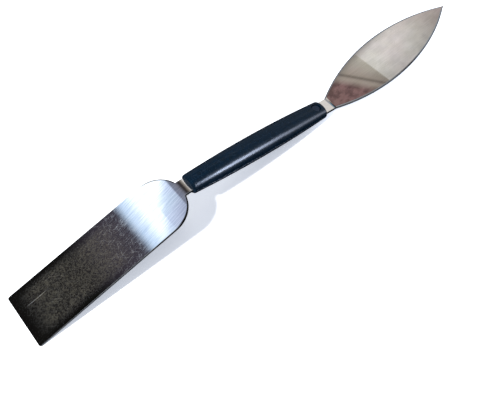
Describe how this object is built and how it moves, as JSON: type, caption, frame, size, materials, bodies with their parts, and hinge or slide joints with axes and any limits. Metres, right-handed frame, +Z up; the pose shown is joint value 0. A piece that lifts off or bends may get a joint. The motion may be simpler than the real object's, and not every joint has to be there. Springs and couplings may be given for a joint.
{
  "type": "palette knife",
  "caption": "Double-ended palette knife with a square blade and a leaf blade of spring steel, each cranked up from a slim oval moulded grip.",
  "frame": {"origin": "on the table, under the middle of the knife as it lies at rest", "axes": "+X along the knife towards the leaf blade's tip, +Y across the blades, +Z up from the table; the grip slopes down towards the leaf blade and both blades rise towards +X"},
  "size_m": [0.3052, 0.032, 0.0239],
  "materials": {
    "blade_steel": "brushed along the blade, fine scratches",
    "navy_grip": "semi-gloss moulded plastic with a faint grain",
    "pin_steel": "blackened steel"
  },
  "bodies": {
    "root": {"square_blade": "blade_steel", "leaf_blade": "blade_steel", "grip_upper_half": "navy_grip", "grip_lower_half": "navy_grip", "square_end_pin": "pin_steel", "leaf_end_pin": "pin_steel"}
  },
  "joints": []
}
